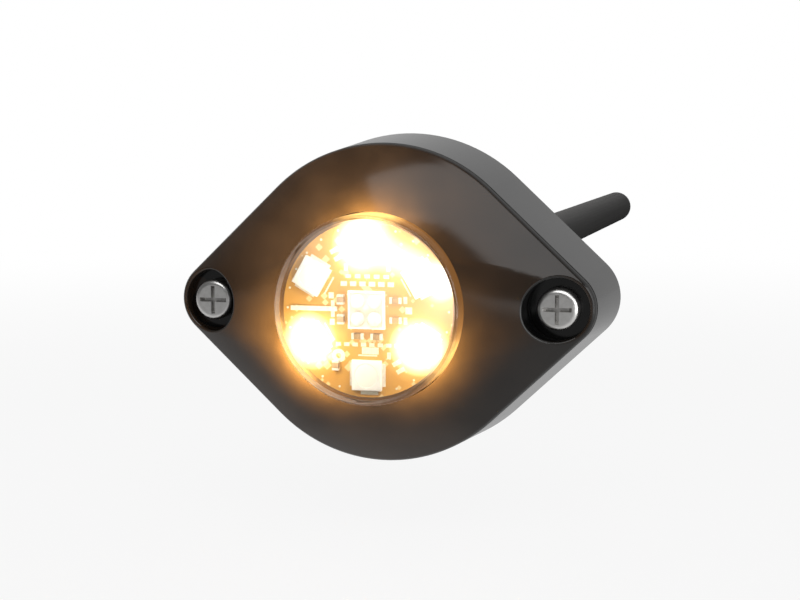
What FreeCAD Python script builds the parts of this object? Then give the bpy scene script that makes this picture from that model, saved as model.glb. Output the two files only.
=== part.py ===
import FreeCAD, Part
import math
import os
from FreeCAD import Vector

# Surface-mount warning light: a lozenge housing with a domed face and a clear round lens.
# Lengths are millimetres. Each piece is drawn lying on its back, with its front up, so that
# X is right, Y is up on the wall and Z is the height above the mounting face.
# On export a piece is turned to stand up: its front then faces -Y and the cable leaves along +Y.

# Housing outline and face
outline_spacing = 48.0
end_radius = 5.2
side_wall = 2.0
wall_depth = 15.1
side_flare = 1.2
dome_rise = 5.8
dome_core_inset = 2.0
dome_bulge = 0.6
dome_sections = 5
dome_reach = 0.96
edge_round = 0.9
seam_width = 0.3
seam_depth = 0.25
seam_below_round = 0.05
match_tolerance = 0.01

# Mounting screws
screw_spacing = 48.5
screw_radius = 1.5
screw_shank_radius = 1.25
screw_length = 25.0
screw_head_radius = 2.8
screw_head_height = 2.4
screw_head_round = 0.7
screw_tip_chamfer = 0.4
screw_recess_span = 3.9
screw_recess_width = 0.75
screw_recess_depth = 1.1
screw_hole_clearance = 0.2
screw_top_above_edge = 0.9
counterbore_radius = 4.2
counterbore_rim_round = 0.3

# Lens
lens_radius = 12.7
lens_clearance = 0.15
lens_wall = 0.8
lens_flange_width = 2.1
lens_flange_thickness = 1.6
lens_rim_height = 10.2
lens_rim_round = 0.7
lens_crown = 1.7
lens_front_wall = 1.2
lens_seal_thickness = 0.8
lens_seal_margin = 0.1

# Heat sink and LED board
heat_sink_seat = 12.8
heat_sink_flange = 2.0
led_rise_in_crown = 0.1
board_clearance = 0.3
thermal_pad_thickness = 0.3
led_board_thickness = 1.6

# LEDs
led_inset = 3.0
led_size = 4.0
led_height = 0.9
led_cup_radius = 1.55
led_cup_depth = 0.35
led_gel_gap = 0.03
centre_led_size = 5.0
centre_led_height = 0.7
centre_dome_radius = 0.95
centre_dome_pitch = 2.3

# Small parts on the LED board
resistor_length = 1.6
resistor_width = 0.8
resistor_height = 0.5
capacitor_length = 0.9
capacitor_width = 1.3
capacitor_height = 0.7
part_gap = 0.6
part_pitch = 2.6
link_length = 6.4
link_width = 0.6
link_height = 0.3
link_edge_gap = 1.1

# Driver board and the stack that carries it
pocket_clearance = 0.2
stack_screw_count = 3
stack_screw_radius = 1.0
stack_screw_bite = 3.4
stack_head_height = 1.3
stack_post_radius = 1.7
stack_post_clearance = 0.05
spacer_height = 3.7
driver_board_thickness = 1.6
fit_clearance = 0.1
thread_clearance = 0.05
chip_size = (6.2, 5.0, 1.6)
chip_place = (-6.5, 6.0)
coil_radius = 3.4
coil_height = 3.0
coil_place = (7.5, 5.5)
driver_capacitor_radius = 2.0
driver_capacitor_height = 3.2
driver_capacitor_places = [(-7.0, -5.0), (8.0, -4.5)]
feed_wire_radius = 0.4
feed_wire_clearance = 0.3
feed_wire_places = [(-3.0, 0.0), (0.0, -3.0), (3.0, 0.0)]

# Back cover
cover_ledge = 1.2
cover_thickness = 2.4
cover_clearance = 0.15
cover_gasket_thickness = 0.6
cover_gasket_width = 0.9
cover_screw_wall = 0.4
cover_screw_angle = 22.0
cover_ear_radius = 2.5
cover_screw_radius = 1.0
cover_screw_length = 8.0
cover_head_radius = 1.9
cover_head_height = 0.9

# Cable and its gland
cable_diameter = 8.0
cable_end = 216.0
gland_length = 9.0
gland_wall = 0.5
gland_base_radius = 5.6
gland_neck_radius = 4.6
gland_flange_radius = 5.6
gland_flange_thickness = 1.0
core_radius = 0.8
core_circle_radius = 2.0
core_count = 4

# Levels above the mounting face
screw_floor = wall_depth + screw_top_above_edge - screw_head_height
heat_sink_back = heat_sink_seat - heat_sink_flange
driver_face = heat_sink_back - spacer_height
driver_back = driver_face - driver_board_thickness
lens_seat = heat_sink_seat + lens_flange_thickness
seal_seat = lens_seat + lens_seal_thickness
lens_rim = heat_sink_seat + lens_rim_height
lens_top = lens_rim + lens_crown
lens_inner_rim = lens_rim - lens_front_wall
lens_inner_top = lens_top - lens_front_wall
led_face = lens_inner_rim + led_rise_in_crown
board_face = led_face - led_height
board_back = board_face - led_board_thickness
slug_top = board_back - thermal_pad_thickness
dome_top = wall_depth + dome_rise

# Radii that follow from the fits
lens_hole_radius = lens_radius + lens_clearance
lens_flange_radius = lens_radius + lens_flange_width
lens_bore_radius = lens_radius - lens_wall
flange_recess_radius = lens_flange_radius + lens_clearance
board_radius = lens_bore_radius - board_clearance
led_circle_radius = board_radius - led_inset
stack_screw_circle = flange_recess_radius + stack_post_clearance + stack_post_radius
stack_hole_radius = stack_screw_radius + fit_clearance
pocket_radius = stack_screw_circle + stack_post_radius + stack_post_clearance
cover_radius = pocket_radius + cover_ledge
cover_screw_circle = cover_radius + cover_screw_wall + cover_screw_radius
crown_radius = cover_radius + side_wall
dome_core_radius = lens_hole_radius - dome_core_inset
cable_radius = cable_diameter / 2
up = Vector(0, 0, 1)


def save(name, *solids):
    """Turn the solids of one node to face -Y and write them."""
    shape = solids[0] if len(solids) == 1 else Part.makeCompound(list(solids))
    shape = shape.copy()
    shape.rotate(Vector(0, 0, 0), Vector(1, 0, 0), 90)
    shape.exportStep("parts/" + name + ".step")


def disc(radius, bottom, top, x=0.0, y=0.0):
    return Part.makeCylinder(radius, top - bottom, Vector(x, y, bottom), up)


def tube(radius, bore, bottom, top, x=0.0, y=0.0):
    return disc(radius, bottom, top, x, y).cut(disc(bore, bottom, top, x, y))


def block(size, x, y, bottom):
    length, width, height = size
    return Part.makeBox(length, width, height, Vector(x - length / 2, y - width / 2, bottom))


def on_circle(radius, degrees):
    angle = math.radians(degrees)
    return radius * math.cos(angle), radius * math.sin(angle)


def arc(centre_x, radius, start, end, height):
    """Arc about (centre_x, 0) between two angles in radians, as an edge."""
    points = []
    for angle in (start, (start + end) / 2, end):
        points.append(Vector(centre_x + radius * math.cos(angle), radius * math.sin(angle), height))
    return Part.Arc(*points).toShape()


def lozenge(crown, end, reach, height):
    """Round crown with an end circle at each side, joined by common tangents."""
    tilt = math.acos((crown - end) / reach)
    arcs = [
        arc(reach, end, -tilt, tilt, height),
        arc(0.0, crown, tilt, math.pi - tilt, height),
        arc(-reach, end, math.pi - tilt, math.pi + tilt, height),
        arc(0.0, crown, math.pi + tilt, 2 * math.pi - tilt, height),
    ]
    edges = []
    for index, edge in enumerate(arcs):
        following = arcs[(index + 1) % len(arcs)]
        edges.append(edge)
        edges.append(Part.LineSegment(edge.Vertexes[-1].Point, following.Vertexes[0].Point).toShape())
    return Part.Wire(edges)


def dome_section(share):
    """Outline of the face at a share of the way from the edge to the core circle."""
    crown = crown_radius + (dome_core_radius - crown_radius) * share
    end = end_radius + (dome_core_radius - end_radius) * share
    reach = outline_spacing / 2 * (1 - share)
    height = wall_depth + dome_rise * (share + dome_bulge * share * (1 - share))
    return lozenge(crown, end, reach, height)


def stack_places():
    step = 360 / stack_screw_count
    return [on_circle(stack_screw_circle, 90 + step * turn) for turn in range(stack_screw_count)]


def cover_screw_places():
    angles = []
    for side in (0, 180):
        angles.extend([side - cover_screw_angle, side + cover_screw_angle])
    return [on_circle(cover_screw_circle, angle) for angle in angles]


def ears(extra, top):
    return [disc(cover_ear_radius + extra, 0.0, top, x, y) for x, y in cover_screw_places()]


def make_shell():
    """Outer form of the housing: drafted wall, rounded edge and domed face."""
    reach = outline_spacing / 2
    back = lozenge(crown_radius + side_flare, end_radius + side_flare, reach, 0.0)
    edge = lozenge(crown_radius, end_radius, reach, wall_depth)
    wall = Part.makeLoft([back, edge], True, True)
    shares = [dome_reach * step / (dome_sections - 1) for step in range(dome_sections)]
    dome = Part.makeLoft([dome_section(share) for share in shares], True, False)
    shell = wall.fuse(dome).removeSplitter()
    rim = []
    for edge in shell.Edges:
        box = edge.BoundBox
        if abs(box.ZMin - wall_depth) < match_tolerance and abs(box.ZMax - wall_depth) < match_tolerance:
            rim.append(edge)
    return shell.makeFillet(edge_round, rim)


def make_seam():
    """Thin groove round the wall, just below its rounded edge."""
    top = wall_depth - edge_round - seam_below_round
    bottom = top - seam_width
    reach = outline_spacing / 2
    outer = lozenge(crown_radius + side_flare, end_radius + side_flare, reach, bottom)
    inner = lozenge(crown_radius - seam_depth, end_radius - seam_depth, reach, bottom)
    ring = Part.Face(outer).cut(Part.Face(inner))
    return ring.extrude(Vector(0, 0, seam_width))


def round_counterbore_rims(housing):
    """Round the edge where each counterbore opens into the face."""
    rims = []
    for face in housing.Faces:
        wall = face.Surface
        if isinstance(wall, Part.Cylinder) and abs(wall.Radius - counterbore_radius) < match_tolerance:
            rims.extend(edge for edge in face.Edges if edge.BoundBox.ZMin > screw_floor + match_tolerance)
    return housing.makeFillet(counterbore_rim_round, rims)


def make_housing():
    shell = make_shell()
    cuts = [
        make_seam(),
        disc(pocket_radius, 0.0, heat_sink_seat),
        disc(flange_recess_radius, 0.0, seal_seat),
        disc(lens_hole_radius, 0.0, lens_top),
        disc(cover_radius + cover_clearance, 0.0, cover_thickness + cover_gasket_thickness),
    ]
    cuts.extend(ears(cover_clearance, cover_thickness))
    for side in (-1, 1):
        x = side * screw_spacing / 2
        cuts.append(disc(screw_radius + screw_hole_clearance, 0.0, dome_top, x))
        cuts.append(disc(counterbore_radius, screw_floor, dome_top, x))
    for x, y in stack_places():
        cuts.append(disc(stack_screw_radius + thread_clearance, 0.0, heat_sink_seat + stack_screw_bite, x, y))
    for x, y in cover_screw_places():
        cuts.append(disc(cover_screw_radius + thread_clearance, 0.0, cover_screw_length, x, y))
    return round_counterbore_rims(shell.cut(cuts))


def make_lens():
    """Clear cup with a foot flange, a rounded rim and a slightly domed front."""
    shoulder = lens_rim - lens_rim_round
    bend = lens_rim_round * math.sqrt(0.5)
    front_edge = lens_radius - lens_rim_round
    outer_low = Vector(lens_radius, 0, shoulder)
    outer_turn = Vector(front_edge + bend, 0, shoulder + bend)
    outer_rim = Vector(front_edge, 0, lens_rim)
    top = Vector(0, 0, lens_top)
    under = Vector(0, 0, lens_inner_top)
    inner = Vector(lens_bore_radius, 0, lens_inner_rim)
    foot = [
        Vector(lens_bore_radius, 0, heat_sink_seat),
        Vector(lens_flange_radius, 0, heat_sink_seat),
        Vector(lens_flange_radius, 0, lens_seat),
        Vector(lens_radius, 0, lens_seat),
    ]
    edges = [
        Part.makePolygon([inner] + foot + [outer_low]),
        Part.Arc(outer_low, outer_turn, outer_rim).toShape(),
        crown_arc(outer_rim, top),
        Part.LineSegment(top, under).toShape(),
        crown_arc(inner, under),
    ]
    pieces = []
    for edge in edges:
        pieces.extend(edge.Edges)
    profile = Part.Wire(Part.__sortEdges__(pieces))
    return Part.Face(profile).revolve(Vector(0, 0, 0), up, 360)


def crown_arc(rim, top):
    """Arc from a rim point to the axis, level where it reaches the axis."""
    sag = top.z - rim.z
    radius = (rim.x ** 2 + sag ** 2) / (2 * sag)
    half = math.asin(rim.x / radius) / 2
    middle = Vector(radius * math.sin(half), 0, top.z - radius + radius * math.cos(half))
    return Part.Arc(rim, middle, top).toShape()


def make_heat_sink():
    sink = disc(pocket_radius - pocket_clearance, heat_sink_back, heat_sink_seat)
    sink = sink.fuse(disc(board_radius, heat_sink_seat, slug_top)).removeSplitter()
    holes = [disc(stack_hole_radius, heat_sink_back, heat_sink_seat, x, y) for x, y in stack_places()]
    return sink.cut(holes + wire_holes(heat_sink_back, slug_top))


def wire_holes(bottom, top):
    radius = feed_wire_radius + feed_wire_clearance
    return [disc(radius, bottom, top, x, y) for x, y in feed_wire_places]


def led_body(degrees):
    """LED package with a round cup, turned so that its foot points at the board's centre."""
    x, y = on_circle(led_circle_radius, degrees)
    body = block((led_size, led_size, led_height), x, y, board_face)
    body.rotate(Vector(x, y, 0), up, degrees - 90)
    return body.cut(disc(led_cup_radius, led_face - led_cup_depth, led_face, x, y))


def led_gel(degrees):
    x, y = on_circle(led_circle_radius, degrees)
    return disc(led_cup_radius - led_gel_gap, led_face - led_cup_depth, led_face, x, y)


def make_centre_domes():
    bottom = board_face + centre_led_height
    domes = []
    for side_x in (-1, 1):
        for side_y in (-1, 1):
            centre = Vector(side_x * centre_dome_pitch / 2, side_y * centre_dome_pitch / 2, bottom)
            domes.append(Part.makeSphere(centre_dome_radius, centre, up, 0, 90, 360))
    return domes


def make_resistors():
    """Two resistors at the right of the centre package and two below it."""
    size = (resistor_length, resistor_width, resistor_height)
    right = (centre_led_size + resistor_length) / 2 + part_gap
    below = (centre_led_size + resistor_width) / 2 + part_gap
    places = []
    for side in (-1, 1):
        places.append((right, side * part_pitch / 2))
        places.append((side * part_pitch / 2, -below))
    return [block(size, x, y, board_face) for x, y in places]


def make_capacitors():
    """Two capacitors at the left of the centre package and one between two LEDs."""
    size = (capacitor_length, capacitor_width, capacitor_height)
    left = -(centre_led_size + capacitor_length) / 2 - part_gap
    places = [(left, -part_pitch / 2), (left, part_pitch / 2), on_circle(led_circle_radius, 240)]
    return [block(size, x, y, board_face) for x, y in places]


def make_back_cover():
    cover = disc(cover_radius, 0.0, cover_thickness)
    cover = cover.fuse(ears(0.0, cover_thickness)).removeSplitter()
    cuts = [disc(gland_neck_radius, 0.0, cover_thickness)]
    for x, y in cover_screw_places():
        cuts.append(disc(cover_screw_radius + fit_clearance, 0.0, cover_thickness, x, y))
        cuts.append(countersink(x, y, fit_clearance))
    return cover.cut(cuts)


def countersink(x, y, extra):
    wide = cover_head_radius + extra
    narrow = cover_screw_radius + extra
    return Part.makeCone(wide, narrow, cover_head_height, Vector(x, y, 0), up)


def cover_screw(x, y):
    shank = disc(cover_screw_radius, 0.0, cover_screw_length, x, y)
    return shank.fuse(countersink(x, y, 0.0)).removeSplitter()


def stack_screw(x, y):
    shank = disc(stack_screw_radius, driver_back, heat_sink_seat + stack_screw_bite, x, y)
    head = disc(stack_post_radius, driver_back - stack_head_height, driver_back, x, y)
    return shank.fuse(head).removeSplitter()


def mounting_screw(side):
    """Pan head screw with a cross recess, a reduced shank and a threaded free end."""
    x = side * screw_spacing / 2
    head_top = screw_floor + screw_head_height
    head = disc(screw_head_radius, screw_floor, head_top, x)
    top_edges = [edge for edge in head.Edges if abs(edge.BoundBox.ZMin - head_top) < match_tolerance]
    head = head.makeFillet(screw_head_round, top_edges)
    shank = disc(screw_shank_radius, 0.0, screw_floor, x)
    tip = screw_floor - screw_length
    thread = disc(screw_radius, tip, 0.0, x)
    tip_edges = [edge for edge in thread.Edges if edge.BoundBox.ZMax < tip + match_tolerance]
    thread = thread.makeChamfer(screw_tip_chamfer, tip_edges)
    recess_floor = head_top - screw_recess_depth
    across = block((screw_recess_span, screw_recess_width, screw_recess_depth), x, 0.0, recess_floor)
    along = block((screw_recess_width, screw_recess_span, screw_recess_depth), x, 0.0, recess_floor)
    return head.fuse([shank, thread]).removeSplitter().cut([across, along])


def make_gland():
    """Rubber strain relief: inner flange, neck through the cover and a tapered tail."""
    flange = disc(gland_flange_radius, cover_thickness, cover_thickness + gland_flange_thickness)
    neck = disc(gland_neck_radius, 0.0, cover_thickness)
    tail_radius = cable_radius + gland_wall
    tail = Part.makeCone(tail_radius, gland_base_radius, gland_length, Vector(0, 0, -gland_length), up)
    return flange.fuse([neck, tail]).removeSplitter()


def make_cable():
    length = cable_end - gland_length
    return Part.makeCylinder(cable_radius, length, Vector(0, 0, -cable_end), up)


def make_cores():
    cores = []
    for turn in range(core_count):
        x, y = on_circle(core_circle_radius, 360 / core_count * (turn + 0.5))
        cores.append(disc(core_radius, cover_thickness + gland_flange_thickness, driver_back, x, y))
    return cores


os.makedirs("parts", exist_ok=True)

save("housing", make_housing())
save("lens", make_lens())
seal_outer = lens_flange_radius - lens_seal_margin
seal_inner = lens_hole_radius + lens_seal_margin
save("lens_seal", tube(seal_outer, seal_inner, lens_seat, seal_seat))

save("heat_sink", make_heat_sink())
save("thermal_pad", disc(board_radius, slug_top, board_back).cut(wire_holes(slug_top, board_back)))
save("led_board", disc(board_radius, board_back, board_face))

amber_leds = {"top": 90, "lower_left": 210, "lower_right": 330}
white_leds = {"bottom": 270, "upper_left": 150, "upper_right": 30}
for colour, leds in (("amber", amber_leds), ("white", white_leds)):
    for place, degrees in leds.items():
        save(colour + "_led_" + place, led_body(degrees))
    save(colour + "_gels", *[led_gel(degrees) for degrees in leds.values()])

centre_body = block((centre_led_size, centre_led_size, centre_led_height), 0.0, 0.0, board_face)
save("centre_led_body", centre_body)
save("centre_led_domes", *make_centre_domes())
save("board_resistors", *make_resistors())
save("board_capacitors", *make_capacitors())
link_x = link_edge_gap + link_length / 2 - board_radius
save("board_link", block((link_length, link_width, link_height), link_x, 0.0, board_face))

driver_holes = [disc(stack_hole_radius, driver_back, driver_face, x, y) for x, y in stack_places()]
driver_board = disc(pocket_radius - pocket_clearance, driver_back, driver_face)
save("driver_board", driver_board.cut(driver_holes))
save("controller_chip", block(chip_size, *chip_place, driver_face))
save("coil", disc(coil_radius, driver_face, driver_face + coil_height, *coil_place))
driver_capacitors = []
capacitor_top = driver_face + driver_capacitor_height
for x, y in driver_capacitor_places:
    driver_capacitors.append(disc(driver_capacitor_radius, driver_face, capacitor_top, x, y))
save("driver_capacitors", *driver_capacitors)
spacers = []
for x, y in stack_places():
    spacers.append(tube(stack_post_radius, stack_hole_radius, driver_face, heat_sink_back, x, y))
save("spacers", *spacers)
save("stack_screws", *[stack_screw(x, y) for x, y in stack_places()])
save("feed_wires", *[disc(feed_wire_radius, driver_face, board_back, x, y) for x, y in feed_wire_places])

gasket_inner = cover_radius - cover_gasket_width
gasket_top = cover_thickness + cover_gasket_thickness
save("back_cover", make_back_cover())
save("cover_gasket", tube(cover_radius, gasket_inner, cover_thickness, gasket_top))
save("cover_screws", *[cover_screw(x, y) for x, y in cover_screw_places()])

save("cable_gland", make_gland())
save("cable_cores", *make_cores())
save("cable", make_cable())

for name, side in (("left", -1), ("right", 1)):
    save("mounting_screw_" + name, mounting_screw(side))
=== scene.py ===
import math
import bpy
import bmesh
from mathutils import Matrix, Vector


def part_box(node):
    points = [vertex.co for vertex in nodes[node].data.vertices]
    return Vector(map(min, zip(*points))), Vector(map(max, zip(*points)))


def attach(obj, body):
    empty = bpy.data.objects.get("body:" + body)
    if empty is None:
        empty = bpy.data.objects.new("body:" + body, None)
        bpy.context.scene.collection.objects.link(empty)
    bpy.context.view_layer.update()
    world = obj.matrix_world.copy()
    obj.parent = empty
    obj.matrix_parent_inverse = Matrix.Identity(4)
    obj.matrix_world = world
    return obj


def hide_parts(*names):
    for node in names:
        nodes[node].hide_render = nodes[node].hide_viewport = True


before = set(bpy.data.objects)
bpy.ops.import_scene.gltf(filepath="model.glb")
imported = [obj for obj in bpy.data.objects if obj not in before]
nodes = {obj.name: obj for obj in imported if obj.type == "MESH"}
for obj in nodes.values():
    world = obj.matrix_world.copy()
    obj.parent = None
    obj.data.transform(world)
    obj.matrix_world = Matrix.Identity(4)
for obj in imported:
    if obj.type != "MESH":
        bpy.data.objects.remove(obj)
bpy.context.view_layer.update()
scene = bpy.context.scene
mm = 0.001
print("frame loaded: %d solids" % len(nodes))


# Camera at the photograph's place, in millimetres and degrees; its sight runs in metres
shot = {"place": (58.53, -208.43, 25.0), "turn": (83.09, 0.347, 16.075), "focal": 67.5, "sensor": 36.0,
        "sight": (0.01, 20.0)}


def setCamera():
    data = bpy.data.cameras.new("photoCamera")
    data.lens = shot["focal"]
    data.sensor_width = shot["sensor"]
    data.sensor_fit = "HORIZONTAL"
    data.clip_start, data.clip_end = shot["sight"]
    camera = bpy.data.objects.new("photoCamera", data)
    camera.location = Vector(shot["place"]) * mm
    camera.rotation_euler = [math.radians(turn) for turn in shot["turn"]]
    scene.collection.objects.link(camera)
    scene.camera = camera


setCamera()
print("camera set")


screwSpacing = 48.5                           # between the axes of the two mounting screws, in millimetres


def toFrame(x, up, level):                    # level is the height above the mounting face, so front is -Y
    return Vector((x, -level, up)) * mm


def levels(node):                             # back and front level of a solid, in millimetres
    low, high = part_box(node)
    return -high.y / mm, -low.y / mm


def ranged(low, high, share):                 # from low to high as the share goes from 0 to 1
    return low + (high - low) * share


class Wire:                                   # an output socket that takes part in maths
    def __init__(self, tree, socket=None):
        self.tree = tree
        self.socket = socket

    def add(self, kind, settings=None, sockets=None, output=0):
        made = self.tree.nodes.new(kind)
        for key, value in (settings or {}).items():
            if key == "stops":                # a ramp's stops, as place and colour
                band = made.color_ramp.elements
                while len(band) < len(value):
                    band.new(0.5)
                for stop, (place, colour) in zip(band, value):
                    stop.position = place
                    stop.color = (*colour, 1.0)
            else:
                setattr(made, key, value)
        for key, value in (sockets or {}).items():
            if isinstance(value, Wire):
                self.tree.links.new(value.socket, made.inputs[key])
            else:
                made.inputs[key].default_value = value
        return Wire(self.tree, made.outputs[output] if len(made.outputs) else None)

    def other(self, output):                  # another output of the same node
        return Wire(self.tree, self.socket.node.outputs[output])

    def maths(self, operation, first, second):
        return self.add("ShaderNodeMath", {"operation": operation}, {0: first, 1: second})

    def __add__(self, value):
        return self.maths("ADD", self, value)

    def __sub__(self, value):
        return self.maths("SUBTRACT", self, value)

    def __mul__(self, value):
        return self.maths("MULTIPLY", self, value)

    def __rsub__(self, value):
        return self.maths("SUBTRACT", value, self)

    __radd__ = __add__
    __rmul__ = __mul__


def newMaterial(name, recipe, *details):
    made = bpy.data.materials.new(name)
    made.use_nodes = True
    made.node_tree.nodes.clear()
    start = Wire(made.node_tree)
    start.add("ShaderNodeOutputMaterial", {}, {"Surface": recipe(start, *details)})
    return made


def objectPlace(start, stretch=None):         # metres in the row frame, pulled along each axis if asked
    place = start.add("ShaderNodeTexCoord", {}, {}, "Object")
    if stretch is None:
        return place
    return start.add("ShaderNodeVectorMath", {"operation": "MULTIPLY"}, {0: place, 1: stretch})


def awayFrom(start, x, up):                   # metres from an axis that runs from back to front
    flat = objectPlace(start, (1.0, 0.0, 1.0))
    axis = toFrame(x, up, 0.0)
    return start.add("ShaderNodeVectorMath", {"operation": "DISTANCE"}, {0: flat, 1: axis}, "Value")


def speckle(start, scale, stretch=None, detail=3.0):
    where = objectPlace(start, stretch)
    return start.add("ShaderNodeTexNoise", {}, {"Vector": where, "Scale": scale, "Detail": detail}, "Fac")


def between(start, mask, first, second, blend="MIX"):     # colour mix by a value
    first, second = [one if isinstance(one, Wire) else (*one, 1.0) for one in (first, second)]
    settings = {"data_type": "RGBA", "blend_type": blend}
    return start.add("ShaderNodeMix", settings, {0: mask, 6: first, 7: second}, 2)


def sharpen(start, value, low, high):
    return start.add("ShaderNodeMapRange", {"interpolation_type": "SMOOTHSTEP"},
                     {"Value": value, "From Min": low, "From Max": high})


def bump(start, height, depth, strength=1.0):
    return start.add("ShaderNodeBump", {}, {"Strength": strength, "Distance": depth, "Height": height})


# Finishes of one base, one grain and one relief. Grain and patch are per metre, relief is in metres.
# The housing's wells and edge are in millimetres: where its painted shade fades at a well, where its matt
# band runs
patchFade = (0.3, 0.7)
finishes = {
    "housingPlastic": {"dark": (0.0066, 0.0062, 0.0058), "light": (0.0098, 0.0092, 0.0085), "patch": 160,
                       "rough": (0.13, 0.17), "grain": 2600, "relief": 0.0000008, "wells": (4.25, 4.5),
                       "wellShade": 0.2, "edge": (13.7, 13.8, 15.0, 15.3), "edgeRough": 0.5},
    "coverPlastic": {"dark": (0.013, 0.013, 0.013), "light": (0.021, 0.021, 0.020), "patch": 420,
                     "rough": (0.46, 0.60), "grain": 2400, "relief": 0.00004},
    "sealRubber": {"dark": (0.012, 0.012, 0.012), "light": (0.024, 0.024, 0.024), "patch": 500,
                   "rough": (0.62, 0.75), "grain": 3000, "relief": 0.00002},
    "sinkMetal": {"dark": (0.62, 0.62, 0.63), "light": (0.74, 0.74, 0.75), "patch": 900, "metal": 1.0,
                  "stretch": (1, 14, 1), "rough": (0.26, 0.40), "grain": 2600, "relief": 0.000006},
    "thermalPad": {"dark": (0.36, 0.38, 0.41), "light": (0.46, 0.48, 0.51), "patch": 700,
                   "rough": (0.70, 0.85), "grain": 2600, "relief": 0.00002},
    "packageResin": {"dark": (0.84, 0.83, 0.81), "light": (0.92, 0.91, 0.90), "patch": 900,
                     "rough": (0.42, 0.55), "grain": 5200, "relief": 0.000006},
    "centreResin": {"dark": (0.72, 0.68, 0.58), "light": (0.84, 0.80, 0.70), "patch": 1200,
                    "rough": (0.40, 0.52), "grain": 5200, "relief": 0.000006},
    "resistorTop": {"dark": (0.26, 0.165, 0.065), "light": (0.36, 0.235, 0.105), "patch": 2200,
                    "rough": (0.35, 0.50), "grain": 7000, "relief": 0.000005},
    "capacitorBody": {"dark": (0.36, 0.25, 0.15), "light": (0.47, 0.34, 0.22), "patch": 2200,
                      "rough": (0.42, 0.55), "grain": 7000, "relief": 0.000005},
    "tinMetal": {"dark": (0.70, 0.68, 0.62), "light": (0.84, 0.82, 0.76), "patch": 2600, "metal": 0.35,
                 "rough": (0.30, 0.50), "grain": 5200, "relief": 0.00001},
    "boardPrint": {"dark": (0.68, 0.65, 0.50), "light": (0.80, 0.77, 0.62), "patch": 2600,
                   "rough": (0.55, 0.70), "grain": 8000, "relief": 0.000004},
    "driverMask": {"dark": (0.008, 0.055, 0.022), "light": (0.014, 0.085, 0.034), "patch": 900,
                   "rough": (0.28, 0.42), "grain": 3000, "relief": 0.00001},
    "chipMould": {"dark": (0.014, 0.014, 0.015), "light": (0.028, 0.028, 0.029), "patch": 1600,
                  "rough": (0.50, 0.62), "grain": 6500, "relief": 0.00001},
    "ferrite": {"dark": (0.045, 0.045, 0.050), "light": (0.085, 0.085, 0.092), "patch": 1400,
                "rough": (0.55, 0.72), "grain": 4200, "relief": 0.00002},
    "canMetal": {"dark": (0.58, 0.59, 0.61), "light": (0.72, 0.73, 0.75), "patch": 1200, "metal": 1.0,
                 "stretch": (1, 9, 1), "rough": (0.24, 0.36), "grain": 3000, "relief": 0.000006},
    "spacerBrass": {"dark": (0.60, 0.42, 0.16), "light": (0.74, 0.56, 0.26), "patch": 1300, "metal": 1.0,
                    "stretch": (1, 9, 1), "rough": (0.22, 0.36), "grain": 3000, "relief": 0.000006},
    "screwZinc": {"dark": (0.84, 0.83, 0.81), "light": (0.93, 0.92, 0.90), "patch": 1500, "metal": 1.0,
                  "rough": (0.26, 0.38), "grain": 6500, "relief": 0.000004},
    # darker for oxide and for painted shade in the cross recesses
    "screwRecessOxideAndShade": {"dark": (0.52, 0.51, 0.50), "light": (0.66, 0.65, 0.63), "patch": 1500, "metal": 1.0,
                    "rough": (0.40, 0.55), "grain": 5200, "relief": 0.00001},
    "wireRed": {"dark": (0.30, 0.018, 0.014), "light": (0.40, 0.030, 0.022), "patch": 1400,
                "stretch": (1, 0.2, 1), "rough": (0.34, 0.46), "grain": 5200, "relief": 0.000006},
    "glandRubber": {"dark": (0.012, 0.012, 0.012), "light": (0.022, 0.022, 0.022), "patch": 420,
                    "rough": (0.52, 0.66), "grain": 3600, "relief": 0.000025},
    "copper": {"dark": (0.62, 0.26, 0.13), "light": (0.80, 0.40, 0.22), "patch": 4200, "metal": 1.0,
               "rough": (0.25, 0.42), "grain": 9000, "relief": 0.00001},
}


def plainFinish(start, look):
    stretch = look.get("stretch")
    patches = speckle(start, look["patch"], stretch)
    grain = speckle(start, look["grain"], stretch, 2.0)
    colour = between(start, sharpen(start, patches, *patchFade), look["dark"], look["light"])
    rough = ranged(*look["rough"], grain)
    if "wells" in look:
        colour, rough = paintedWellShadeAndMattEdge(start, look, colour, rough)
    return start.add("ShaderNodeBsdfPrincipled", {}, {
        "Base Color": colour, "Roughness": rough, "Metallic": look.get("metal", 0.0),
        "Normal": bump(start, grain, look["relief"])})


def paintedWellShadeAndMattEdge(start, look, colour, rough):        # painted shade in the screw wells, and a matt edge between face and wall
    near, far = [value * mm for value in look["wells"]]
    for side in (-1, 1):
        inside = 1.0 - sharpen(start, awayFrom(start, side * screwSpacing / 2, 0.0), near, far)
        # painted shade: the base colour darkens inside each screw well
        shade = ranged(1.0, look["wellShade"], inside)
        grey = start.add("ShaderNodeCombineColor", {}, {0: shade, 1: shade, 2: shade})
        colour = between(start, 1.0, colour, grey, "MULTIPLY")
    level = start.add("ShaderNodeSeparateXYZ", {}, {"Vector": objectPlace(start)}, "Y") * -1.0
    low, full, fall, high = [value * mm for value in look["edge"]]
    band = sharpen(start, level, low, full) * (1.0 - sharpen(start, level, fall, high))
    return colour, ranged(rough, look["edgeRough"], band)


materials = {name: newMaterial(name, plainFinish, look) for name, look in finishes.items()}
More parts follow.
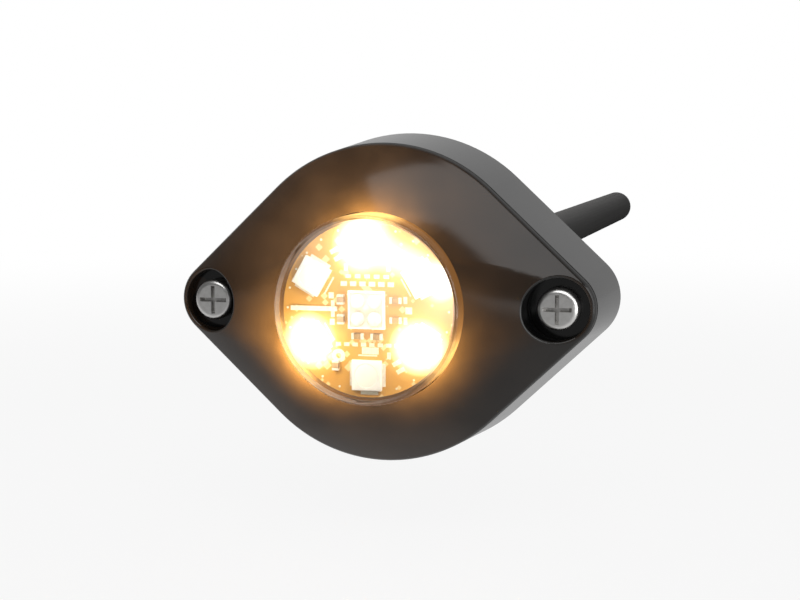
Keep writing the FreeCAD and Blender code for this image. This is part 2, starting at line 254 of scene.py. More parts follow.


# Clear lens: its inner crown carries a painted glow for the glare of the lit chips and a pale veil, and its
# rim a painted glow for the light it would pipe. A spot is x, up, reach and share; spots and edge are in
# millimetres
lensLook = {
    "ior": 1.49, "rough": (0.015, 0.035), "grain": 2600, "tints": ((0.97, 0.95, 0.92), (1.0, 1.0, 1.0)),
    "wave": 420, "relief": 0.00002, "reliefShare": 0.25, "glare": 1.15,
    "stops": [(0.0, (0.0, 0.0, 0.0)), (0.34, (0.05, 0.020, 0.003)), (0.54, (0.28, 0.16, 0.05)),
              (0.67, (1.0, 0.82, 0.45)), (0.78, (1.0, 1.0, 0.95))],
    "spots": [(-0.2, 8.8, 8.8, 1.0), (-7.4, -4.1, 8.5, 1.0), (7.4, -4.5, 8.4, 1.0), (7.6, 5.8, 6.6, 0.72),
              (11.2, 3.4, 4.6, 0.7)],
    "veil": [(5.0, 7.0, 18.0, 0.25), (11.5, 1.0, 6.0, 0.20), (-8.0, 9.0, 8.0, 0.10)],
    "veilTint": (1.0, 0.97, 0.93),
    "edge": (11.2, 12.3), "streak": 900, "streakShare": (0.6, 1.4),
    "edgeStops": [(0.0, (0.055, 0.024, 0.007)), (0.45, (0.13, 0.058, 0.017)), (0.9, (0.62, 0.34, 0.10))],
    "edgeSpots": [(0.0, 12.3, 9.0, 0.95), (-11.0, -6.2, 12.0, 0.85), (10.6, -6.6, 9.0, 0.75)],
}
unlit = (0.0, 0.0, 0.0)


def nearness(start, spots):                   # each spot's share at its middle, nothing at its reach
    return sum(share * (1.0 - sharpen(start, awayFrom(start, x, up), 0.0, reach * mm))
               for x, up, reach, share in spots)


def paintedGlareColour(start):                       # painted glare: hot spots of the lit chips over a pale veil, given as emission
    hot = start.add("ShaderNodeValToRGB", {"stops": lensLook["stops"]},
                    {"Fac": nearness(start, lensLook["spots"])})
    veil = between(start, nearness(start, lensLook["veil"]), unlit, lensLook["veilTint"])
    return between(start, 1.0, hot, veil, "ADD")


def paintedRimGlow(start):                        # painted light in the rim: emission streaked near the lit chips
    low, high = lensLook["edge"]
    streak = ranged(*lensLook["streakShare"], speckle(start, lensLook["streak"]))
    lit = start.add("ShaderNodeValToRGB", {"stops": lensLook["edgeStops"]},
                    {"Fac": nearness(start, lensLook["edgeSpots"]) * streak})
    return between(start, sharpen(start, awayFrom(start, 0.0, 0.0), low * mm, high * mm), unlit, lit)


def lensFinish(start, glowColour):
    wave = speckle(start, lensLook["wave"])
    sockets = {"Base Color": between(start, wave, *lensLook["tints"]),
               "Roughness": ranged(*lensLook["rough"], speckle(start, lensLook["grain"])),
               "IOR": lensLook["ior"], "Transmission Weight": 1.0,
               "Normal": bump(start, wave, lensLook["relief"], lensLook["reliefShare"])}
    # the glare and rim finishes take a painted glow as emission
    if glowColour:
        sockets.update({"Emission Color": glowColour(start), "Emission Strength": lensLook["glare"]})
    return start.add("ShaderNodeBsdfPrincipled", {}, sockets)


# Lit and unlit chip gels
gelLooks = {
    "amberGel": {"dark": (0.90, 0.50, 0.12), "light": (1.0, 0.66, 0.22), "grain": 5200,
                 "rough": (0.18, 0.33), "glow": ((1.0, 0.70, 0.30), (1.0, 0.80, 0.45)), "power": 26.0},
    "whiteGel": {"dark": (0.90, 0.88, 0.83), "light": (0.95, 0.94, 0.91), "grain": 5200,
                 "rough": (0.18, 0.33)},
}


def gelFinish(start, look):
    grain = speckle(start, look["grain"])
    sockets = {"Base Color": between(start, grain, look["dark"], look["light"]),
               "Roughness": ranged(*look["rough"], grain)}
    if "glow" in look:
        glowing = between(start, grain, *look["glow"])
        sockets.update({"Emission Color": glowing, "Emission Strength": look["power"]})
    return start.add("ShaderNodeBsdfPrincipled", {}, sockets)


# Milky clear silicone over the centre chips
domeLook = {"dark": (0.90, 0.88, 0.80), "light": (0.97, 0.96, 0.92), "grain": 3200, "rough": (0.08, 0.18),
            "clear": 0.2, "ior": 1.41}


def domeFinish(start):
    grain = speckle(start, domeLook["grain"])
    return start.add("ShaderNodeBsdfPrincipled", {}, {
        "Base Color": between(start, grain, domeLook["dark"], domeLook["light"]),
        "Roughness": ranged(*domeLook["rough"], grain),
        "Transmission Weight": domeLook["clear"], "IOR": domeLook["ior"]})


# LED board: mask over copper, so lighter tracks show through a darker ground
boardLook = {"ground": (0.55, 0.29, 0.058), "track": (0.74, 0.56, 0.280), "cell": 620,
             "trackFade": (0.36, 0.44), "grain": 6000, "rough": (0.32, 0.48), "relief": 0.00002,
             "reliefShare": 0.6}


def boardFinish(start):
    cells = start.add("ShaderNodeTexVoronoi", {"distance": "MANHATTAN", "feature": "F1"},
                      {"Vector": objectPlace(start), "Scale": boardLook["cell"]}, "Distance")
    ground = sharpen(start, cells, *boardLook["trackFade"])
    return start.add("ShaderNodeBsdfPrincipled", {}, {
        "Base Color": between(start, ground, boardLook["track"], boardLook["ground"]),
        "Roughness": ranged(*boardLook["rough"], speckle(start, boardLook["grain"])),
        "Normal": bump(start, ground, boardLook["relief"], boardLook["reliefShare"])})


# Cable jacket: long faint drawing marks along Y
jacketLook = {"dark": (0.062, 0.061, 0.060), "light": (0.084, 0.083, 0.082), "marks": (2600, 26, 2600),
              "dust": 900, "rough": (0.56, 0.70), "relief": 0.00003, "reliefShare": 0.25}


def jacketFinish(start):
    marks = speckle(start, 1.0, jacketLook["marks"], 4.0)
    return start.add("ShaderNodeBsdfPrincipled", {}, {
        "Base Color": between(start, marks, jacketLook["dark"], jacketLook["light"]),
        "Roughness": ranged(*jacketLook["rough"], speckle(start, jacketLook["dust"])),
        "Specular IOR Level": 0.0,
        "Normal": bump(start, marks, jacketLook["relief"], jacketLook["reliefShare"])})


materials["lensClear"] = newMaterial("lensClear", lensFinish, None)
materials["lensPaintedGlare"] = newMaterial("lensPaintedGlare", lensFinish, paintedGlareColour)
materials["lensRimPaintedGlow"] = newMaterial("lensRimPaintedGlow", lensFinish, paintedRimGlow)
for gelName, gelLook in gelLooks.items():
    materials[gelName] = newMaterial(gelName, gelFinish, gelLook)
materials["chipDome"] = newMaterial("chipDome", domeFinish)
materials["ledBoardMask"] = newMaterial("ledBoardMask", boardFinish)
materials["cableJacket"] = newMaterial("cableJacket", jacketFinish)
print("materials made: %d" % len(materials))


# Solids that keep their own shape take these finishes
nodeFinishes = {
    "housing": "housingPlastic", "lens_seal": "sealRubber", "heat_sink": "sinkMetal",
    "thermal_pad": "thermalPad", "led_board": "ledBoardMask", "centre_led_domes": "chipDome",
    "board_link": "boardPrint", "driver_board": "driverMask", "controller_chip": "chipMould",
    "coil": "ferrite", "driver_capacitors": "canMetal", "spacers": "spacerBrass",
    "stack_screws": "screwZinc", "feed_wires": "wireRed", "back_cover": "coverPlastic",
    "cover_gasket": "sealRubber", "cable_cores": "wireRed",
}


def dressSolids():
    for node, finish in nodeFinishes.items():
        data = nodes[node].data
        if not data.materials:
            data.materials.append(None)
        for index in range(len(data.materials)):
            data.materials[index] = materials[finish]


dressSolids()
print("solids dressed: %d" % len(nodeFinishes))


def onCircle(radius, degrees):
    angle = math.radians(degrees)
    return radius * math.cos(angle), radius * math.sin(angle)


def swung(x, up, degrees):                    # a spot turned about the axis
    return onCircle(math.hypot(x, up), math.degrees(math.atan2(up, x)) + degrees)


def joinRings(mesh, first, second):           # a ring of one corner closes to a tip
    faces = []
    count = max(len(first), len(second))
    for index in range(count):
        after = (index + 1) % count
        corners = [first[index % len(first)], first[after % len(first)],
                   second[after % len(second)], second[index % len(second)]]
        unique = [corner for spot, corner in enumerate(corners) if corner not in corners[:spot]]
        if len(unique) > 2:
            faces.append(mesh.faces.new(unique))
    return faces


def skin(mesh, rings):                        # one list of faces for each wall between rings
    return [joinRings(mesh, first, second) for first, second in zip(rings, rings[1:])]


def closedSkin(mesh, rings):                  # the same, with a flat end on the first and last ring
    return skin(mesh, rings) + [[mesh.faces.new(rings[0])], [mesh.faces.new(rings[-1])]]


def paint(walls, finish):                     # finish is the place in the piece's list of finishes
    for faces in walls:
        for face in faces:
            face.material_index = finish


def turned(mesh, profile, centre=(0.0, 0.0), segments=96):
    rings = []                                # a radius may be a number or a function of the angle
    for radius, level in profile:
        ring = []
        for step in range(1 if radius == 0 else segments):
            angle = 2 * math.pi * step / segments
            reach = radius(angle) if callable(radius) else radius
            x, up = centre[0] + reach * math.cos(angle), centre[1] + reach * math.sin(angle)
            ring.append(mesh.verts.new(toFrame(x, up, level)))
        rings.append(ring)
    return skin(mesh, rings)


def addPiece(name, mesh, finish, stands=(), sharp=35.0):
    bmesh.ops.recalc_face_normals(mesh, faces=mesh.faces)
    data = bpy.data.meshes.new(name)
    mesh.to_mesh(data)
    mesh.free()
    data.shade_smooth()
    data.set_sharp_from_angle(angle=math.radians(sharp))
    for one in [finish] if isinstance(finish, str) else finish:
        data.materials.append(materials[one])
    piece = bpy.data.objects.new(name, data)
    scene.collection.objects.link(piece)
    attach(piece, "root")
    if stands:
        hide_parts(*stands)
    return piece


def rounded(corner, radius, start, end, steps=6):    # arc of a profile, centre and angles in degrees
    points = []
    for step in range(steps + 1):
        across, along = onCircle(radius, ranged(start, end, step / steps))
        points.append((corner[0] + across, corner[1] + along))
    return points


# Cable: straight out of the gland to its bare end, in millimetres
cable = {"route": [(0, 9, 0), (0, 60, 0), (0, 112, 0), (0, 165, 0), (0, 213, 0), (0, 214.4, 0),
                   (0, 215.4, 0)],
         "across": 8.0, "length": 207.0, "endShare": 0.86}
cores = {"count": 4, "turn": 45, "circle": 1.75, "radius": 1.15, "out": 0.5, "sunk": 0.2, "round": 0.08,
         "strand": 0.22, "strandTip": 0.05, "strandGap": 0.05, "ring": 6}


def makeCable():
    curve = bpy.data.curves.new("supplyCable", "CURVE")
    curve.dimensions = "3D"
    curve.resolution_u = 16
    curve.bevel_depth = cable["across"] / 2 * mm
    curve.bevel_resolution = 14
    curve.use_fill_caps = True
    line = curve.splines.new("NURBS")
    line.points.add(len(cable["route"]) - 1)
    for point, place in zip(line.points, cable["route"]):
        point.co = (*[value * mm for value in place], 1.0)
    line.points[-1].radius = cable["endShare"]       # the cut edge is a little rounded
    line.order_u = 3
    line.use_endpoint_u = True
    curve.materials.append(materials["cableJacket"])
    piece = bpy.data.objects.new("supplyCable", curve)
    scene.collection.objects.link(piece)
    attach(piece, "root")
    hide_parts("cable")
    ends = makeCoreEnds()


def makeCoreEnds():                           # four insulated cores, each with seven strands
    cut = -cable["route"][-1][1]
    tip, back = cut - cores["out"], cut + cores["sunk"]
    wall, small, edge = cores["radius"], cores["strand"], cores["round"]
    bore = 3 * small + cores["strandGap"]
    skins, strands = bmesh.new(), bmesh.new()
    for core in range(cores["count"]):
        x, up = onCircle(cores["circle"], cores["turn"] + 360 / cores["count"] * core)
        turned(skins, [(wall, back), (wall, tip + edge), (wall - edge, tip), (bore, tip), (bore, back)],
               (x, up), 32)
        spots = [(0, 0)] + [onCircle(2 * small, 360 / cores["ring"] * step) for step in range(cores["ring"])]
        for dx, dup in spots:
            turned(strands, [(0, back), (small, back), (small, tip + cores["strandTip"]), (0, tip)],
                   (x + dx, up + dup), 12)
    return [addPiece("cableCoreSkins", skins, "wireRed"),
            addPiece("cableCoreStrands", strands, "copper")]


makeCable()
print("cable laid")


# Lens: cup with a foot flange, rounded rim and low crown, in millimetres
lens = {"radius": 12.7, "bore": 11.9, "flange": 14.8, "foot": 12.8, "seat": 14.4, "seatRound": 0.3,
        "flangeRound": 0.15, "rim": 23.0, "rimRound": 0.7, "top": 24.7, "innerRim": 21.8, "innerTop": 23.5,
        "segments": 160}


def crownLevel(reach, edge, edgeLevel, topLevel):    # height of a crown at a reach from the axis
    sag = topLevel - edgeLevel
    radius = (edge ** 2 + sag ** 2) / (2 * sag)
    return topLevel - radius + math.sqrt(radius ** 2 - reach ** 2)


def crown(edge, edgeLevel, topLevel, steps=24):      # arc from inside a rim to the axis
    reaches = [edge * (1 - step / steps) for step in range(1, steps)]
    return [(reach, crownLevel(reach, edge, edgeLevel, topLevel)) for reach in reaches] + [(0, topLevel)]


def makeLens():
    edge, shoulder = lens["radius"] - lens["rimRound"], lens["rim"] - lens["rimRound"]
    outside = crown(edge, lens["rim"], lens["top"])[::-1]
    outside += rounded((edge, shoulder), lens["rimRound"], 90, 0)
    outside += [(lens["radius"], lens["seat"] + lens["seatRound"])]
    foot = [(lens["radius"] + lens["seatRound"], lens["seat"])]
    foot += [(lens["flange"] - lens["flangeRound"], lens["seat"])]
    foot += [(lens["flange"], lens["seat"] - lens["flangeRound"]), (lens["flange"], lens["foot"])]
    foot += [(lens["bore"], lens["foot"]), (lens["bore"], lens["innerRim"])]
    inside = crown(lens["bore"], lens["innerRim"], lens["innerTop"])
    mesh = bmesh.new()
    walls = turned(mesh, outside + foot + inside, segments=lens["segments"])
    paint(walls[:len(outside) - 1], 2)        # crown, rim and wall carry the painted rim glow
    paint(walls[-len(inside):], 1)            # the inner crown carries the painted glare
    piece = addPiece("clearLens", mesh, ["lensClear", "lensPaintedGlare", "lensRimPaintedGlow"], ["lens"])
    piece.visible_shadow = False              # its clear wall passes the chips' light


makeLens()
print("lens turned")


# Screws, in millimetres; cross recess by a tapered cutter, its walls darker for oxide and painted shade
mountScrew = {"under": 13.6, "head": 2.8, "round": 0.7, "flatShare": 0.97, "brow": 88, "underRound": 0.1,
              "shank": 1.25, "shankRound": 0.2, "thread": 1.5, "root": 1.22, "pitch": 0.5, "pitchRows": 8,
              "runIn": 0.5, "runOut": 0.4, "crest": 1.25, "tipRound": 0.15,
              "span": 3.9, "arm": 0.56, "depth": 0.7}
coverScrew = {"circle": 21.05, "angles": (-22, 22, 158, 202), "head": 1.9, "rimIn": 0.06, "rimDeep": 0.05,
              "cone": 0.9, "shank": 1.0, "length": 8.0, "tipRound": 0.3,
              "span": 2.3, "arm": 0.5, "depth": 0.6}
recess = {"over": 0.3, "taper": 0.78, "sharp": 30.0}


def crossCut(piece, centre, face, sign, look):       # sign is 1 for a face that looks to the front
    sections = ((face + sign * recess["over"], 1.0), (face, 1.0),
                (face - sign * look["depth"], recess["taper"]))
    for wide, high in ((look["span"], look["arm"]), (look["arm"], look["span"])):
        cutter = bmesh.new()
        rings = []
        for level, share in sections:
            x, up = wide / 2 * share, high / 2 * share
            corners = [(-x, -up), (x, -up), (x, up), (-x, up)]
            rings.append([cutter.verts.new(toFrame(centre[0] + a, centre[1] + b, level)) for a, b in corners])
        paint(closedSkin(cutter, rings), 1)   # the cut walls take the screw's second finish, darker for oxide and painted shade
        bmesh.ops.recalc_face_normals(cutter, faces=cutter.faces)
        data = bpy.data.meshes.new("crossCutter")
        cutter.to_mesh(data)
        cutter.free()
        tool = bpy.data.objects.new("crossCutter", data)
        scene.collection.objects.link(tool)
        change = piece.modifiers.new("cross", "BOOLEAN")
        change.operation = "DIFFERENCE"
        change.solver = "EXACT"
        change.object = tool
        cutMesh = bpy.data.meshes.new_from_object(piece.evaluated_get(bpy.context.evaluated_depsgraph_get()))
        piece.modifiers.clear()
        old = piece.data
        piece.data = cutMesh
        bpy.data.meshes.remove(old)
        bpy.data.objects.remove(tool)
    piece.data.set_sharp_from_angle(angle=math.radians(recess["sharp"]))


def threadRadius(look, level, tip):           # a radius that follows the helix round one level
    fade = max(0.0, min(1.0, (level - tip) / look["runIn"], -level / look["runOut"]))

    def reach(angle):
        turn = level / look["pitch"] + angle / (2 * math.pi)
        crest = min(1.0, look["crest"] * abs(2 * (turn % 1.0) - 1))
        return look["root"] + (look["thread"] - look["root"]) * fade * crest
    return reach


def makeMountScrew(name, node, side):
    look = mountScrew
    tip, top = levels(node)
    head, under, shank, root = look["head"], look["under"], look["shank"], look["root"]
    flat = head - look["round"]
    profile = [(0, top), (flat * look["flatShare"], top)]
    profile += rounded((flat, top - look["round"]), look["round"], look["brow"], 0, 8)
    profile += [(head, under + look["underRound"]), (head - look["underRound"], under)]
    profile += [(shank + look["shankRound"], under), (shank, under - look["shankRound"]), (shank, 0.0)]
    rows = int(-tip / look["pitch"] * look["pitchRows"])
    for row in range(1, rows):
        level = tip * row / rows
        profile.append((threadRadius(look, level, tip), level))
    profile += [(root - look["tipRound"], tip), (0, tip)]
    mesh = bmesh.new()
    centre = (side * screwSpacing / 2, 0.0)
    turned(mesh, profile, centre, 48)
    piece = addPiece(name, mesh, ["screwZinc", "screwRecessOxideAndShade"], [node])
    crossCut(piece, centre, top, 1, look)


def makeCoverScrews():
    look = coverScrew
    head, shank, length = look["head"], look["shank"], look["length"]
    profile = [(0, 0.0), (head - look["rimIn"], 0.0), (head, look["rimDeep"]), (shank, look["cone"])]
    profile += [(shank, length - look["tipRound"]), (shank - look["tipRound"], length), (0, length)]
    centres = [onCircle(look["circle"], angle) for angle in look["angles"]]
    mesh = bmesh.new()
    for centre in centres:
        turned(mesh, profile, centre, 40)
    piece = addPiece("coverScrewHeads", mesh, ["screwZinc", "screwRecessOxideAndShade"], ["cover_screws"])
    for centre in centres:
        crossCut(piece, centre, 0.0, -1, look)


makeMountScrew("mountScrewLeft", "mounting_screw_left", -1)
makeMountScrew("mountScrewRight", "mounting_screw_right", 1)
makeCoverScrews()
print("screws cut")


# Strain relief at the back: flange, neck and a tapered tail with flex rings, in millimetres.
# A ring's steps are the share of its pitch and of the groove's depth
gland = {"flange": 5.6, "flangeRound": 0.2, "cover": 2.4, "neck": 4.6, "base": 5.6, "end": 4.5,
         "endRound": 0.15, "plainEnd": 0.9, "rings": 4, "groove": 0.5,
         "steps": [(0.0, 0.12), (0.05, 0.0), (0.60, 0.0), (0.66, 0.12), (0.70, 1.0), (0.92, 1.0),
                   (0.98, 0.12)]}


def makeGland():
    look = gland
    tail, top = levels("cable_gland")
    length, flange, end = -tail, look["flange"], look["end"]
    profile = [(0, top), (flange - look["flangeRound"], top), (flange, top - look["flangeRound"])]
    profile += [(flange, look["cover"]), (look["neck"], look["cover"]), (look["neck"], 0.0)]
    for ring in range(look["rings"]):
        for share, depth in look["steps"]:
            along = length / look["rings"] * (ring + share)
            if along > length - look["plainEnd"] and depth == 1.0:
                continue                      # the last groove stops short of the end
            outer = ranged(look["base"], end, along / length)
            profile.append((outer - look["groove"] * depth, -along))
    profile += [(end, tail + look["endRound"]), (end - look["endRound"], tail), (0, tail)]
    mesh = bmesh.new()
    turned(mesh, profile)
    addPiece("strainRelief", mesh, "glandRubber", ["cable_gland"])


makeGland()
print("strain relief turned")


# LED packages on the board, in millimetres and degrees
ledBack, ledFace = levels("amber_led_top")
led = {"circle": 8.6, "size": 4.0, "back": ledBack, "face": ledFace, "footIn": 0.05, "footHigh": 0.25,
       "bevel": 0.18, "bevelShare": 0.3, "lip": 0.06, "cup": 1.55, "floor": 1.40, "deep": 0.35,
       "gelGap": 0.02, "gelLift": 0.01, "gelEdge": 0.05, "gelRise": {"amber": 0.42, "white": 0.06},
       "amber": {"top": 90, "lower_left": 210, "lower_right": 330},
       "white": {"bottom": 270, "upper_left": 150, "upper_right": 30}}
boardPieces = [nodes[node] for node in ("led_board", "board_link", "centre_led_domes")]


def squareRing(mesh, half, level, centre=(0.0, 0.0), turn=0.0, count=32):
    ring = []
    for step in range(count):
        x, up = onCircle(1.0, 360 * step / count)
        stretch = half / max(abs(x), abs(up))
        dx, dup = swung(stretch * x, stretch * up, turn)
        ring.append(mesh.verts.new(toFrame(centre[0] + dx, centre[1] + dup, level)))
    return ring


def roundRing(mesh, radius, level, centre, turn, count=32):
    spots = [onCircle(radius, 360 * step / count + turn) for step in range(count)]
    return [mesh.verts.new(toFrame(centre[0] + x, centre[1] + up, level)) for x, up in spots]


def makePackage(colour, place, degrees):
    centre, turn = onCircle(led["circle"], degrees), degrees - 90
    half, face, bevel = led["size"] / 2, led["face"], led["bevel"]
    slant = bevel * led["bevelShare"]
    squares = [(half - led["footIn"], led["back"]), (half, led["back"] + led["footHigh"]),
               (half, face - bevel), (half - slant, face - slant), (half - bevel, face)]
    rounds = [(led["cup"] + led["lip"], face), (led["cup"], face - led["lip"]),
              (led["floor"], face - led["deep"])]
    mesh = bmesh.new()
    rings = [squareRing(mesh, reach, level, centre, turn) for reach, level in squares]
    rings += [roundRing(mesh, reach, level, centre, turn) for reach, level in rounds]
    closedSkin(mesh, rings)
    node = "%s_led_%s" % (colour, place)
    boardPieces.append(addPiece("package_" + node, mesh, "packageResin", [node]))


def makeGels(colour):
    low, edge = led["face"] - led["deep"] + led["gelLift"], led["face"] - led["gelEdge"]
    radius, top = led["cup"] - led["gelGap"], led["face"] + led["gelRise"][colour]
    profile = [(0, low), (led["floor"] - led["gelGap"], low), (radius, edge)] + crown(radius, edge, top, 10)
    mesh = bmesh.new()
    for degrees in led[colour].values():
        turned(mesh, profile, onCircle(led["circle"], degrees), 40)
    piece = addPiece(colour + "GelDomes", mesh, colour + "Gel", [colour + "_gels"])
    boardPieces.append(piece)


for colour in ("amber", "white"):
    for place, degrees in led[colour].items():
        makePackage(colour, place, degrees)
    makeGels(colour)
print("LED packages made")


# Small board parts, in millimetres and degrees. Sizes are along, across and high; spots are x and up
board = {
    "face": levels("led_board")[1],
    "resistor": (1.6, 0.8, 0.5), "resistors": [(3.9, 1.3), (3.9, -1.3), (1.3, -3.5), (-1.3, -3.5)],
    "capacitor": (1.3, 0.9, 0.7), "capacitors": [(-3.55, 1.3), (-3.55, -1.3), onCircle(led["circle"], 240)],
    "chipEnd": 0.22, "chipWaist": 0.96, "chipBevel": 0.04, "endBevel": 0.06,
    "terminal": (3.0, 0.55, 0.22), "terminalTuck": 0.12, "terminalBevel": 0.05,
    "print": 0.03, "printBevel": 0.005,
    "ledLine": (0.2, 2.6), "ledLineGap": 0.55,
    "rows": [(3.35, 6, 1.28, 0.85, 0.62), (4.35, 5, 1.30, 0.75, 0.5), (-4.65, 8, 1.15, 0.72, 0.5)],
    "labels": [(0.2, -11.0, 2.4, 0.45), (0.35, -5.42, 2.3, 0.9), (5.6, 0.0, 0.9, 0.9),
               (-4.95, 1.75, 0.7, 0.8), (-4.85, -1.75, 0.7, 0.8)],
    "columns": [(-4.75, 0.65), (-4.75, -0.65), (5.15, 1.35), (5.15, -1.35), (-2.9, 5.5), (2.9, 5.5),
                (2.9, -6.0)],
    "columnPad": (0.5, 0.9),
    "pairs": [(4.2, 7.2, 60.0), (-4.2, 7.2, 120.0), (4.2, -7.4, -60.0)],
    "pairPad": (0.6, 1.2), "pairHalf": 0.55,
    "viaCircle": 11.0, "vias": 26, "via": 0.16, "viaFoot": -10.67,
    "rosette": (-4.0, -6.2), "rosetteReach": (0.35, 0.9),
}


def plate(mesh, spot, size, high, turn=0.0, bevel=0.05, finish=0):   # a flat block that stands on the board
    rings = []
    for level, inset in ((0.0, 0.0), (high - bevel, 0.0), (high, bevel)):
        ring = []
        for side, rise in ((-1, -1), (1, -1), (1, 1), (-1, 1)):
            dx, dup = swung(side * (size[0] / 2 - inset), rise * (size[1] / 2 - inset), turn)
            ring.append(mesh.verts.new(toFrame(spot[0] + dx, spot[1] + dup, board["face"] + level)))
        rings.append(ring)
    paint(closedSkin(mesh, rings), finish)


def chipPart(mesh, spot, size, turn):         # a body between two tinned ends
    along, across, high = size
    end, waist = board["chipEnd"] * along, board["chipWaist"]
    plate(mesh, spot, (along - 2 * end, across * waist), high * waist, turn, board["chipBevel"])
    for side in (-1, 1):
        dx, dup = onCircle(side * (along - end) / 2, turn)
        plate(mesh, (spot[0] + dx, spot[1] + dup), (end, across), high, turn, board["endBevel"], 1)


def pad(mesh, spot, size, turn=0.0):          # flat print
    plate(mesh, spot, size, board["print"], turn, board["printBevel"])


def makeChips(name, kind, finish, turn):
    mesh = bmesh.new()
    for spot in board[kind + "s"]:
        chipPart(mesh, spot, board[kind], turn)
    boardPieces.append(addPiece(name, mesh, [finish, "tinMetal"], ["board_%ss" % kind]))


def makeTerminals(turns):                     # one each side of every LED
    mesh = bmesh.new()
    along, across, high = board["terminal"]
    offset = led["size"] / 2 + across / 2 - board["terminalTuck"]
    for degrees in turns:
        for side in (-1, 1):
            spot = swung(led["circle"], side * offset, degrees)
            plate(mesh, spot, (along, across), high, degrees, board["terminalBevel"])
    boardPieces.append(addPiece("ledTerminals", mesh, "tinMetal"))


def makeMarks(turns):                         # plain print: lines, rows of pads, labels, vias and a rosette
    mesh = bmesh.new()
    lineCircle = led["circle"] - led["size"] / 2 - board["ledLineGap"]
    for degrees in turns:
        pad(mesh, onCircle(lineCircle, degrees), board["ledLine"], degrees)
    for up, count, pitch, along, across in board["rows"]:
        for step in range(count):
            pad(mesh, (pitch * (step - (count - 1) / 2), up), (along, across))
    for x, up, along, across in board["labels"]:
        pad(mesh, (x, up), (along, across))
    for spot in board["columns"]:
        pad(mesh, spot, board["columnPad"])
    for x, up, turn in board["pairs"]:
        for side in (-1, 1):
            dx, dup = onCircle(side * board["pairHalf"], turn)
            pad(mesh, (x + dx, up + dup), board["pairPad"], turn)
    low, top = board["face"], board["face"] + board["print"]
    for step in range(board["vias"]):
        spot = onCircle(board["viaCircle"], 360 * step / board["vias"])
        if spot[1] > board["viaFoot"]:        # clear of the label at the foot
            turned(mesh, [(0, low), (board["via"], low), (board["via"], top), (0, top)], spot, 12)
    hole, outer = board["rosetteReach"]
    turned(mesh, [(hole, low), (hole, top), (outer, top), (outer, low), (hole, low)], board["rosette"], 32)
    boardPieces.append(addPiece("boardMarks", mesh, "boardPrint"))


# Centre package, square rings of half width and height above the board; its sunk floor is a darker resin
centreRings = [(2.45, 0.0), (2.5, 0.2), (2.5, 0.62), (2.42, 0.7), (2.22, 0.7), (2.18, 0.58)]


def makeCentrePackage():
    mesh = bmesh.new()
    walls = closedSkin(mesh, [squareRing(mesh, half, board["face"] + rise) for half, rise in centreRings])
    paint(walls[-1:], 1)
    finish = ["packageResin", "centreResin"]
    boardPieces.append(addPiece("centrePackage", mesh, finish, ["centre_led_body"]))


ledTurns = [*led["amber"].values(), *led["white"].values()]
makeChips("boardResistors", "resistor", "resistorTop", 0.0)
makeChips("boardCapacitors", "capacitor", "capacitorBody", 90.0)
makeTerminals(ledTurns)
makeMarks(ledTurns)
makeCentrePackage()
print("board parts made")


# Stage: pale floor and soft light. The floor's level is in millimetres, its reach and fades in metres
stage = {"floor": -32.0, "reach": 1.6, "paper": ((0.47, 0.47, 0.47), (0.53, 0.53, 0.53)), "cloud": 6.0,
         "white": 0.90, "whiteFade": (0.10, 0.45), "mirror": 0.9,
         "floorFront": 0.30, "floorBack": 0.62, "backFade": (-0.12, 0.0), "sideFade": (0.04, 0.14),
         "frontFade": (-0.03, 0.02), "nearFade": (0.03, 0.06),
         "fill": 0.42, "front": 0.09, "back": 0.55, "skyFade": (-0.25, 0.55)}
white = (1.0, 1.0, 1.0, 1.0)
panels = {                                    # soft lamps, in degrees and metres
    "softbox": {"azimuth": 21.0, "elevation": 49.5, "away": 0.62, "wide": 0.72, "high": 0.41,
                "radiance": 1.80},
    "sideStrip": {"azimuth": 74.0, "elevation": 9.0, "away": 0.14, "wide": 0.08, "high": 0.10,
                  "radiance": 2.5, "takers": ["housing", "mountScrewLeft", "mountScrewRight", "clearLens"]},
    "cableTop": {"azimuth": 238.0, "elevation": 58.0, "away": 0.32, "wide": 0.30, "high": 0.30,
                 "radiance": 4.5, "takers": ["supplyCable"]},
}


def seenRay(start):                           # rays from the camera, and those that were mirrored or bent
    path = start.add("ShaderNodeLightPath", {}, {}, "Is Camera Ray")
    bent = path.maths("MAXIMUM", path.other("Is Glossy Ray"), path.other("Is Transmission Ray"))
    return path, (1.0 - path) * bent


def floorFinish(start):
    camera, bent = seenRay(start)
    place = objectPlace(start)
    away = start.add("ShaderNodeVectorMath", {"operation": "LENGTH"}, {0: place}, "Value")
    along = start.add("ShaderNodeSeparateXYZ", {}, {"Vector": place}, "Y")
    share = ranged(stage["white"], 1.0, sharpen(start, away, *stage["whiteFade"]))
    behind = ranged(stage["floorFront"], stage["floorBack"], sharpen(start, along, *stage["backFade"]))
    beside = sharpen(start, along.other("X"), *stage["sideFade"])
    beside = beside * (1.0 - sharpen(start, along, *stage["frontFade"]))
    near = 1.0 - sharpen(start, away, *stage["nearFade"])
    mirrored = away.maths("MAXIMUM", behind, away.maths("MAXIMUM", beside, near))
    tone = between(start, speckle(start, stage["cloud"]), *stage["paper"])
    paper = start.add("ShaderNodeBsdfDiffuse", {}, {"Color": tone})
    glowing = start.add("ShaderNodeEmission", {}, {"Color": white, "Strength": camera + bent * mirrored})
    shown = camera * share + stage["mirror"] * bent
    seen = start.add("ShaderNodeMixShader", {}, {0: shown, 1: paper, 2: glowing})
    clear = start.add("ShaderNodeBsdfTransparent")
    under = start.add("ShaderNodeNewGeometry", {}, {}, "Backfacing")
    return start.add("ShaderNodeMixShader", {}, {0: under, 1: seen, 2: clear})


def makeFloor():
    mesh = bmesh.new()
    reach = stage["reach"]
    corners = [(-reach, -reach), (reach, -reach), (reach, reach), (-reach, reach)]
    mesh.faces.new([mesh.verts.new((x, y, stage["floor"] * mm)) for x, y in corners])
    data = bpy.data.meshes.new("paleFloor")
    mesh.to_mesh(data)
    mesh.free()
    data.materials.append(newMaterial("palePaper", floorFinish))
    floor = bpy.data.objects.new("paleFloor", data)
    scene.collection.objects.link(floor)


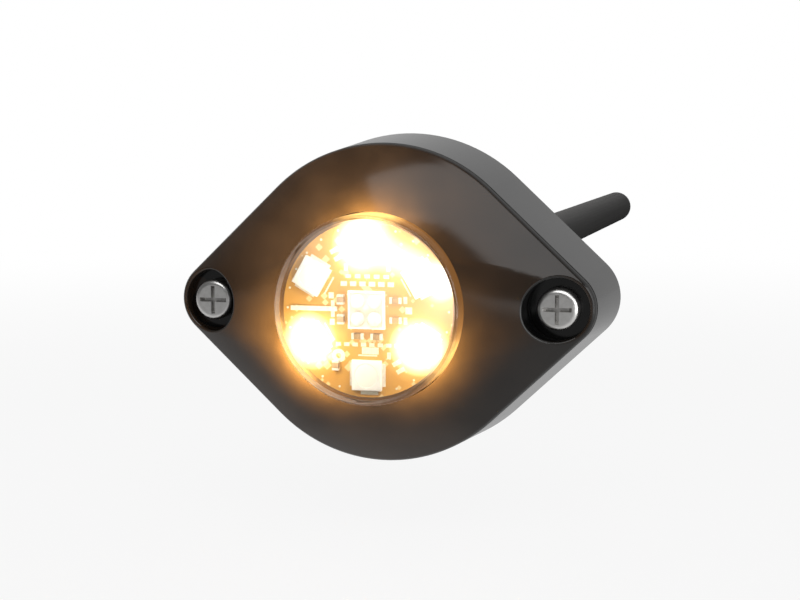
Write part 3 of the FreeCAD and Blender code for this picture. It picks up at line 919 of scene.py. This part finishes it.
def makeWorld():
    world = bpy.data.worlds.new("studio")
    scene.world = world
    world.use_nodes = True
    world.node_tree.nodes.clear()
    start = Wire(world.node_tree)
    camera, bent = seenRay(start)
    direction = start.add("ShaderNodeTexCoord", {}, {}, "Generated")
    ahead = start.add("ShaderNodeSeparateXYZ", {}, {"Vector": direction}, "Y")
    mirrored = ranged(stage["front"], stage["back"], sharpen(start, ahead, *stage["skyFade"]))
    level = camera + bent * mirrored + stage["fill"] * (1.0 - camera - bent)
    sky = start.add("ShaderNodeBackground", {}, {"Color": white, "Strength": level})
    start.add("ShaderNodeOutputWorld", {}, {"Surface": sky})


def groupOf(name, pieces):                    # the pieces that a lamp falls on
    group = bpy.data.collections.new(name + "Takers")
    for piece in pieces:
        group.objects.link(piece)
    return group


def makePanel(name, look):
    data = bpy.data.lights.new(name, "AREA")
    data.shape = "RECTANGLE"
    data.size = look["wide"]
    data.size_y = look["high"]
    data.energy = look["radiance"] * math.pi * look["wide"] * look["high"]
    lamp = bpy.data.objects.new(name, data)
    flat, rise = onCircle(1.0, look["elevation"])
    ahead, aside = onCircle(flat, look["azimuth"])
    towards = Vector((aside, -ahead, rise))
    lamp.location = towards * look["away"]
    lamp.rotation_euler = towards.to_track_quat("Z", "Y").to_euler()
    lamp.visible_camera = False
    scene.collection.objects.link(lamp)
    if "takers" in look:
        pieces = [nodes.get(taker) or bpy.data.objects[taker] for taker in look["takers"]]
        lamp.light_linking.receiver_collection = groupOf(name, pieces)


# Glow of the three lit chips, each set on the pieces that it falls on.
# Power is in watts and the rest in millimetres; a spot is x, up and its share of the power
glow = {
    "faceGlow": {"colour": (1.0, 0.43, 0.08), "level": 23.4, "power": 0.40, "soft": 0.5,
                 "spots": [(0.0, 8.6, 0.80), (-7.6, -6.2, 1.15), (6.8, -6.4, 0.52)]},
    "washGlow": {"colour": (1.0, 0.52, 0.22), "level": 34.0, "power": 0.092, "soft": 0.5,
                 "spots": [(-10.0, 14.0, 1.1), (2.0, 18.0, 0.95), (2.0, -16.0, 0.4), (-14.0, -9.0, 0.3)]},
    "boardGlow": {"colour": (1.0, 0.88, 0.64), "level": 28.0, "power": 0.0029, "soft": 0.5,
                  "spots": [(0.0, 8.6, 1.0), (-7.45, -4.3, 1.0), (7.45, -4.3, 1.0)]},
}


def makeGlow(name, pieces):
    look = glow[name]
    group = groupOf(name, pieces)
    for x, up, share in look["spots"]:
        data = bpy.data.lights.new(name, "POINT")
        data.color = look["colour"]
        data.energy = look["power"] * share
        data.shadow_soft_size = look["soft"] * mm
        lamp = bpy.data.objects.new(name, data)
        lamp.location = toFrame(x, up, look["level"])
        lamp.visible_camera = False
        lamp.visible_glossy = False
        lamp.visible_transmission = False
        lamp.light_linking.receiver_collection = group
        scene.collection.objects.link(lamp)


makeFloor()
makeWorld()
for panelName, panelLook in panels.items():
    makePanel(panelName, panelLook)
makeGlow("faceGlow", [nodes["housing"]])
makeGlow("washGlow", [nodes["housing"]])
makeGlow("boardGlow", boardPieces)
scene.view_settings.view_transform = "Standard"
print("stage lit")
